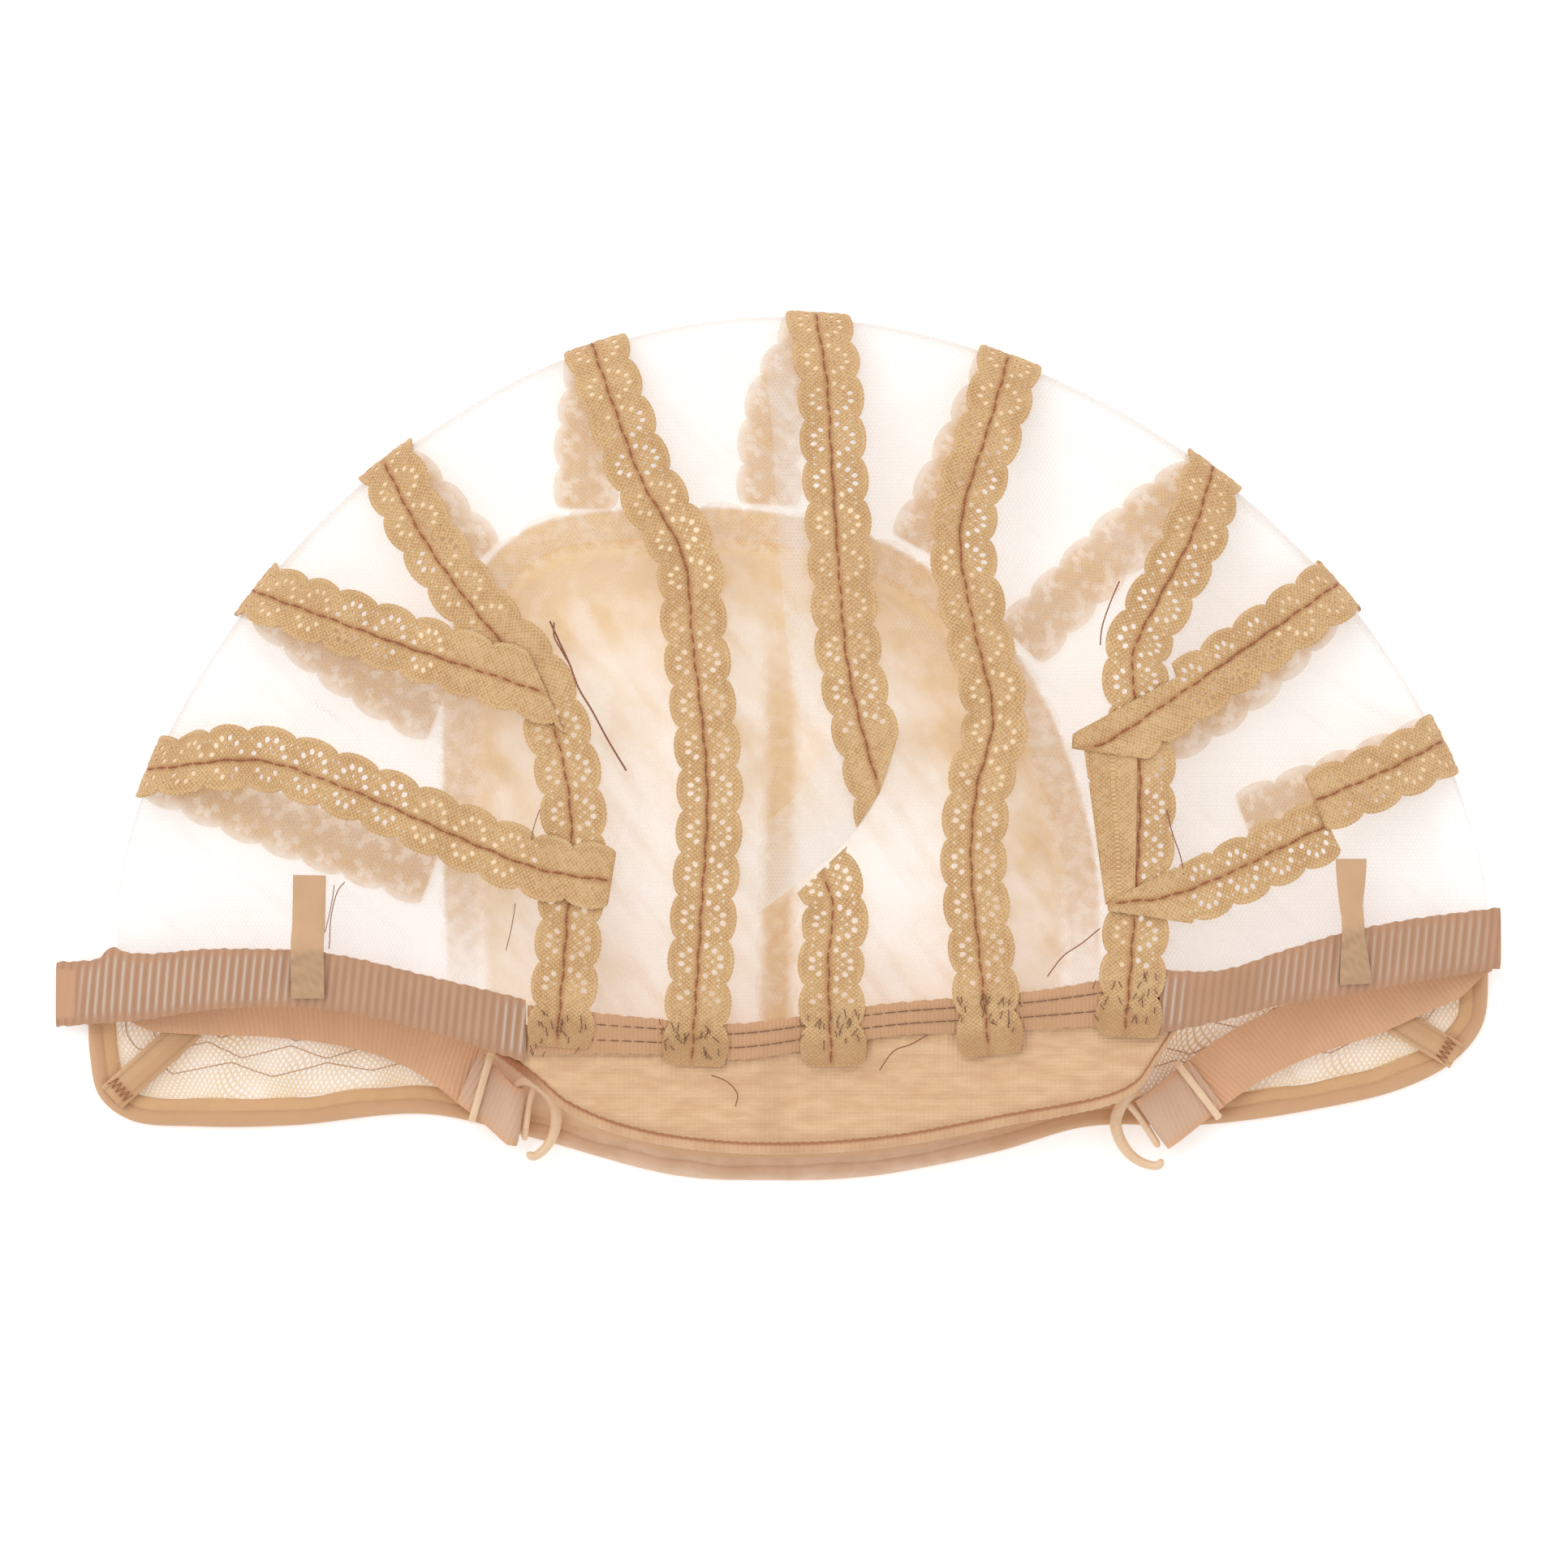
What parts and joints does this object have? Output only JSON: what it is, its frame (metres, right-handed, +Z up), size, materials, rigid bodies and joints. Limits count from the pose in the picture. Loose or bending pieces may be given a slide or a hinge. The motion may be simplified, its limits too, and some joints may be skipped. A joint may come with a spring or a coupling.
{
  "type": "lace wig cap",
  "caption": "Soft net wig cap lying flat: a hollow dome of sheer net with scalloped lace strips, ribbon edge, nape panel, ear flaps and hooked adjusting straps.",
  "frame": {"origin": "middle of the box that the lying cap fills, on the surface that it lies on", "axes": "+Z up from the surface, +Y from the mouth to the crown fold, +X to the right seen from above"},
  "size_m": [0.279, 0.1684, 0.0236],
  "materials": {
    "sheer_net": "sheer white net",
    "front_net": "beige lace net",
    "lace": "golden tan scalloped lace",
    "ribbon": "ribbed pinkish tan elastic ribbon",
    "stretch_cloth": "fine beige stretch knit",
    "tape": "smooth folded tape",
    "plastic": "pale beige moulded plastic"
  },
  "bodies": {
    "root": {"crown_net": "sheer_net", "front_lace": "front_net", "ear_net_left": "front_net", "ear_net_right": "front_net", "hem_tape": "tape", "lace_arch": "lace", "lace_front_strip": "lace", "ear_stay_left": "tape", "ear_stay_right": "tape", "lace_strip_1": "lace", "lace_strip_2": "lace", "lace_strip_3": "lace", "lace_strip_4": "lace", "lace_strip_5": "lace", "lace_strip_6": "lace", "lace_strip_7": "lace", "lace_strip_8": "lace", "lace_strip_9": "lace", "lace_strip_5_tail": "lace", "ear_band_left": "ribbon", "nape_band": "ribbon", "ear_band_right": "ribbon", "nape_panel": "stretch_cloth", "nape_binding": "stretch_cloth", "tab_left": "tape", "tab_right": "tape", "strap_left": "ribbon", "slider_left": "plastic", "hook_left": "plastic", "strap_right": "ribbon", "slider_right": "plastic", "hook_right": "plastic"}
  },
  "joints": []
}
